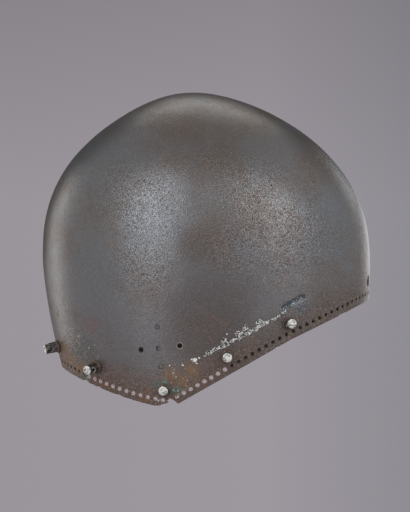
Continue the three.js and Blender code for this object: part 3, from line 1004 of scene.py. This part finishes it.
def patinated_iron():
    material, iron = new_finish("patinated_iron", GREY, SkullFinish)
    mottle, fleck, speck = iron.mottle, iron.fleck, iron.speck
    pitted, red, sunk = weather(iron)
    low = brown_the_edge(iron)
    rust, green, chalk = rust_and_stain(iron)
    scraped, blued = scratch_and_scrape(iron)

    # Inside it is dull dark oxide, and the painted light round the hole mouths and the front side hole lies
    # over it
    facing = iron.node("ShaderNodeTexCoord").output("Normal")
    within = iron.vector("DOT_PRODUCT", facing, iron.place).output("Value").rise(-2.0, -14.0)
    iron.paint(iron.blend(OXIDE, OXIDE_PALE, (mottle + fleck.sway(0.5)).rise(0.4, 0.66)), within)
    lit_mouths = painted_hole_light(iron)
    # Painted light round the hole mouths and painted highlight round the front side hole
    iron.paint(PAINTED_HOLE_LIGHT, lit_mouths * 0.85)

    scraped = scraped * (1.0 - within)
    # Bare scraped metal and the painted light round the holes both take a bare metal's roughness and metallic
    bare_and_lit = scraped.most(lit_mouths)
    dull = (low * 0.35 + rust * 0.5 + green * 0.6 + chalk * 0.5).clipped().most(within)
    roughness = 0.33 + fleck.sway(0.1) + dull * 0.26 + speck.sway(0.14)
    roughness = roughness + bare_and_lit * (0.42 - roughness)
    metallic = 0.87 - dull * 0.55 - red * 0.15
    metallic = metallic + bare_and_lit * (0.25 - metallic)
    height = speck.sway(0.16 + pitted * 0.06) + fleck.sway(0.05) - sunk * 0.12
    height = height + mottle.sway(0.08) * (0.5 + low) + scraped * 0.06 - blued * 0.05
    lay_on(iron, roughness.clipped(), metallic.clipped(), height)
    return material


# Metals of the studs and the stubs

BRASS = tint(106, 98, 94)
BRASS_DARK = tint(60, 56, 54)
BRASS_RED = tint(142, 114, 104)
BRASS_PALE = tint(176, 166, 157)
BRASS_GREEN = tint(100, 132, 114)
WORN_MOUTH = tint(206, 200, 190)
# Painted shade inside the cord hole
BORE_SHADE = tint(34, 29, 27)
RUBBED_END = tint(248, 248, 242)
CLOUDED_END = tint(176, 176, 168)
DENT_DIRT = tint(96, 90, 82)
BROKEN = tint(136, 133, 132)
BROKEN_DARK = tint(98, 92, 89)
PIN = tint(104, 98, 94)
PIN_BRIGHT = tint(252, 246, 240)


def own_place(finish):
    """Where a point of a stud or stub is from its own seat, in millimetres."""
    return finish.scaled(finish.node("ShaderNodeTexCoord").output("Object"), PER_METRE)


def room_place(finish):
    """Where a point of the finished helmet is, in millimetres, whichever piece it is on."""
    return finish.scaled(finish.node("ShaderNodeNewGeometry"), PER_METRE)


def tarnished_brass():
    material, brass = new_finish("tarnished_brass", BRASS)
    _, y, z = brass.split(own_place(brass))
    spot = room_place(brass)
    patch = brass.grain(spot, 2.6, 3.0, 0.6)
    speck = brass.grain(spot, 0.8, 2.0, 0.6)
    brass.paint(BRASS_DARK, patch.rise(0.4, 0.6))
    brass.paint(BRASS_RED, (z + patch.sway(3.0)).rise(2.8, 1.2) * 0.6)
    brass.paint(BRASS_PALE, (speck + patch.sway(0.3)).rise(0.42, 0.32) * 0.45)
    brass.paint(BRASS_GREEN, patch.rise(0.56, 0.7) * z.rise(4.0, 1.0) * 0.6)

    # The cord hole is painted dark inside as shade, and its mouth is worn bright
    from_hole = distance(y, z - (STUD_LENGTH - CORD_HOLE_FROM_END))
    shaded_bore = from_hole.rise(CORD_HOLE_RADIUS * 1.12, CORD_HOLE_RADIUS * 1.04)
    mouth = from_hole.rise(CORD_HOLE_MOUTH * 1.25, CORD_HOLE_MOUTH * 0.9) * patch.rise(0.6, 0.44)
    brass.paint(WORN_MOUTH, mouth * 0.7)
    brass.paint(BORE_SHADE, shaded_bore)

    # The end face is rubbed to pale metal, with grey clouds and dark specks left in its dents
    face = (z + patch.sway(0.9)).rise(STUD_LENGTH - 0.8, STUD_LENGTH - 0.25)
    rubbed = brass.blend(RUBBED_END, CLOUDED_END, (patch + speck.sway(0.7)).rise(0.44, 0.62))
    rubbed = brass.blend(rubbed, DENT_DIRT, (speck + patch.sway(0.6)).rise(0.6, 0.68) * 0.85)
    brass.paint(rubbed, face)
    roughness = 0.48 + speck.sway(0.3) - face * 0.08
    # The painted shade in the cord hole is also less metallic
    metallic = 0.72 - face * 0.38 - shaded_bore * 0.4
    lay_on(brass, roughness.clipped(), metallic.clipped(), patch.sway(0.14) + speck.sway(0.1))
    return material


def broken_iron():
    material, finish = new_finish("broken_iron", BROKEN)
    patch = finish.grain(room_place(finish), 1.4, 3.0, 0.6)
    finish.paint(BROKEN_DARK, patch.rise(0.4, 0.62))
    lay_on(finish, (0.42 + patch.sway(0.3)).clipped(), 0.8, patch.sway(0.1))
    return material


def rubbed_pin(name, reach):
    """Stub worn to bright metal in the middle, as far out as the reach."""
    material, finish = new_finish(name, PIN)
    x, y, _ = finish.split(own_place(finish))
    patch = finish.grain(room_place(finish), 0.75, 2.0, 0.6)
    worn = (distance(x, y) + patch.sway(2.2)).rise(reach, reach * 0.5)
    finish.paint(PIN_BRIGHT, worn)
    lay_on(finish, (0.4 + patch.sway(0.3)).clipped(), 0.2, patch.sway(0.1))
    return material


def finish_with(thing, material):
    thing.data.materials.clear()
    thing.data.materials.append(material)


# The pieces

skull_metal = patinated_iron()
stud_metal = tarnished_brass()
stub_metal = broken_iron()
rubbed_metals = {"small": rubbed_pin("rubbed_pin", 0.95), "worn": rubbed_pin("rubbed_stub", 1.9)}

skull = make_skull()
finish_with(skull, skull_metal)
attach(skull, "root")
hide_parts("skull")

for number, (node_name, (seat, lean, lift)) in enumerate(stud_seats.items()):
    stud = make_stud(node_name + "_turned", seat, lean, lift, number * 2.3)
    finish_with(stud, stud_metal)
    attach(stud, "root")
    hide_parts(node_name)

for number, (node_name, (seat, radius, filled)) in enumerate(hole_seats.items()):
    if filled:
        label = node_name.split("_")[-1]
        fit = {"sink": STUB_SINKS[label], "slide": STUB_SLIDES.get(label, 0.0)}
        stub = make_stub(node_name + "_broken", seat, radius, seed=number * 1.9, **fit)
        finish_with(stub, rubbed_metals.get(label, stub_metal))
        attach(stub, "root")
        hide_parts(node_name)


# Studio, in metres and degrees

CENTRE = Vector((CROWN_SETBACK, 0.0, PLATE - CROWN_RISE)) * MM
CAMERA_FROM = (1.0, 0.1)
CAMERA_DISTANCE = 2.5
FOCAL_LENGTH = 249.9
SENSOR_WIDTH = 36.0
FARTHEST_SEEN = 20.0
FLOOR_LEVEL = -0.42
FLOOR_RADIUS = 1.2
FLOOR_SIDES = 96
PAPER_RADIUS = 0.62
PAPER = (0.33, 0.31, 0.335)
BACKDROP = (0.337, 0.309, 0.342)
BACKDROP_RIGHT = (0.252, 0.248, 0.274)
# What the metal mirrors: the room with its sides, the dark behind the helmet and a bright strip beside it
ROOM = (0.265, 0.247, 0.252)
ROOM_RIGHT = (0.46, 0.46, 0.48)
ROOM_LEFT = (0.36, 0.35, 0.36)
ROOM_LOW_LEFT = (0.47, 0.46, 0.47)
ROOM_LOW_RIGHT = (0.39, 0.39, 0.41)
ROOM_BEHIND = (0.04, 0.039, 0.042)
ROOM_STRIP = (1.25, 1.27, 1.3)
# What everything else is lit by
ROOM_LIGHT = (0.8, 0.8, 0.8)
# Name, azimuth, elevation, distance, width, height, radiance and colour
LAMPS = (
    ("left_softbox", -27.0, 12.0, 1.7, 0.55, 1.7, 0.78, (0.95, 1.0, 1.06)),
    ("left_core", -27.0, 25.0, 1.6, 0.45, 1.0, 1.48, (0.97, 1.0, 1.05)),
    ("right_softbox", 33.0, 12.0, 1.7, 0.8, 1.3, 0.45, (0.95, 1.0, 1.06)),
    ("right_core", 31.0, 27.0, 1.6, 0.45, 0.6, 1.9, (0.97, 1.0, 1.05)),
    ("left_panel", -119.0, 3.0, 1.7, 0.6, 1.45, 1.35, (1.0, 1.0, 1.0)),
    ("right_panel", 158.0, -5.0, 1.7, 0.86, 0.72, 1.25, (0.98, 1.0, 1.02)),
    ("top_panel", 180.0, 60.0, 1.5, 1.1, 0.6, 1.1, (1.0, 0.97, 0.93)),
)


def towards(azimuth, elevation):
    a, e = math.radians(azimuth), math.radians(elevation)
    return Vector((math.sin(a) * math.cos(e), -math.cos(a) * math.cos(e), math.sin(e)))


def aim(thing, out, distance):
    """Puts a thing at a distance from the middle of the helmet, looking at it."""
    bpy.context.scene.collection.objects.link(thing)
    thing.location = CENTRE + out * distance
    thing.rotation_mode = "QUATERNION"
    thing.rotation_quaternion = (-out).to_track_quat("-Z", "Y")


def make_camera():
    data = bpy.data.cameras.new("camera")
    data.sensor_width = SENSOR_WIDTH
    data.lens = FOCAL_LENGTH
    data.clip_end = FARTHEST_SEEN
    camera = bpy.data.objects.new("camera", data)
    aim(camera, towards(*CAMERA_FROM), CAMERA_DISTANCE)
    bpy.context.scene.camera = camera


def make_lamp(name, azimuth, elevation, distance, width, height, radiance, colour):
    data = bpy.data.lights.new(name, "AREA")
    data.shape = "RECTANGLE"
    data.size = width
    data.size_y = height
    data.energy = radiance * math.pi * width * height
    data.color = colour
    lamp = bpy.data.objects.new(name, data)
    aim(lamp, towards(azimuth, elevation), distance)
    lamp.visible_camera = False


def backdrop_colour(air, x, z):
    """The backdrop falls off to the right and towards its top."""
    right = (x * 18.0).clipped() * x.rise(0.3, 0.12)
    shade = 1.0 - (z - 0.012).most(0.0).least(0.065) * 3.7 - (0.0 - x).most(0.0).least(0.07) * 0.5
    return air.scaled(air.blend((*BACKDROP, 1.0), (*BACKDROP_RIGHT, 1.0), right), shade)


def room_colour(air, x, y, z):
    """The room is brighter to the right and dark behind, apart from a strip beside the helmet."""
    behind = y.rise(0.15, 0.7) * (1.0 - x.rise(0.15, 0.5) * z.rise(0.4, 0.15))
    behind = behind * (1.0 - x.rise(-0.12, -0.4) * z.rise(0.0, -0.1) * 0.85)
    beside = x.rise(0.34, 0.46) * x.rise(0.8, 0.5) * z.rise(0.14, 0.24) * z.rise(0.48, 0.34)
    patches = (
        (ROOM_RIGHT, x.rise(0.25, 0.8)),
        (ROOM_LEFT, x.rise(-0.25, -0.7)),
        (ROOM_LOW_LEFT, x.rise(-0.35, -0.8) * z.rise(-0.04, -0.2)),
        (ROOM_LOW_RIGHT, x.rise(0.4, 0.8) * z.rise(0.12, -0.06)),
        (ROOM_BEHIND, behind),
        (ROOM_STRIP, beside * y.rise(0.0, 0.25)),
    )
    room = (*ROOM, 1.0)
    for colour, mask in patches:
        room = air.blend(room, (*colour, 1.0), mask)
    return room


def make_world():
    world = bpy.data.worlds.new("studio")
    bpy.context.scene.world = world
    world.use_nodes = True
    world.node_tree.nodes.clear()
    air = Finish(world.node_tree)
    x, y, z = air.split(air.node("ShaderNodeTexCoord").output("Generated"))
    path = air.node("ShaderNodeLightPath")
    mirrored = path.output("Is Glossy Ray").most(path.output("Is Transmission Ray"))
    glow = air.blend((*ROOM_LIGHT, 1.0), room_colour(air, x, y, z), mirrored)
    glow = air.blend(glow, backdrop_colour(air, x, z), path.output("Is Camera Ray"))
    surface = air.node("ShaderNodeBackground", {"Color": glow})
    air.node("ShaderNodeOutputWorld", {"Surface": surface})


def make_floor():
    """A round paper floor that fades to the backdrop and is clear from below."""
    points = [(0.0, 0.0, FLOOR_LEVEL)]
    points += [(FLOOR_RADIUS * x, FLOOR_RADIUS * y, FLOOR_LEVEL) for x, y in circle(FLOOR_SIDES)]
    faces = [(0, 1 + side, 1 + (side + 1) % FLOOR_SIDES) for side in range(FLOOR_SIDES)]
    floor = mesh_object("floor", points, faces)
    material, finish = new_finish("paper_floor")
    away = finish.vector("LENGTH", finish.node("ShaderNodeTexCoord").output("Object")).output("Value")
    paper = finish.node("ShaderNodeBsdfDiffuse", {"Color": (*PAPER, 1.0)})
    glow = finish.node("ShaderNodeEmission", {"Color": (*BACKDROP, 1.0)})
    spread = away.rise(PAPER_RADIUS, FLOOR_RADIUS)
    shader = finish.node("ShaderNodeMixShader", {0: spread, 1: paper, 2: glow})
    under = finish.node("ShaderNodeNewGeometry").output("Backfacing")
    clear = finish.node("ShaderNodeBsdfTransparent")
    shader = finish.node("ShaderNodeMixShader", {0: under, 1: shader, 2: clear})
    finish.node("ShaderNodeOutputMaterial", {"Surface": shader})
    finish_with(floor, material)


make_camera()
make_world()
make_floor()
for lamp in LAMPS:
    make_lamp(*lamp)
bpy.context.scene.view_settings.view_transform = "Standard"
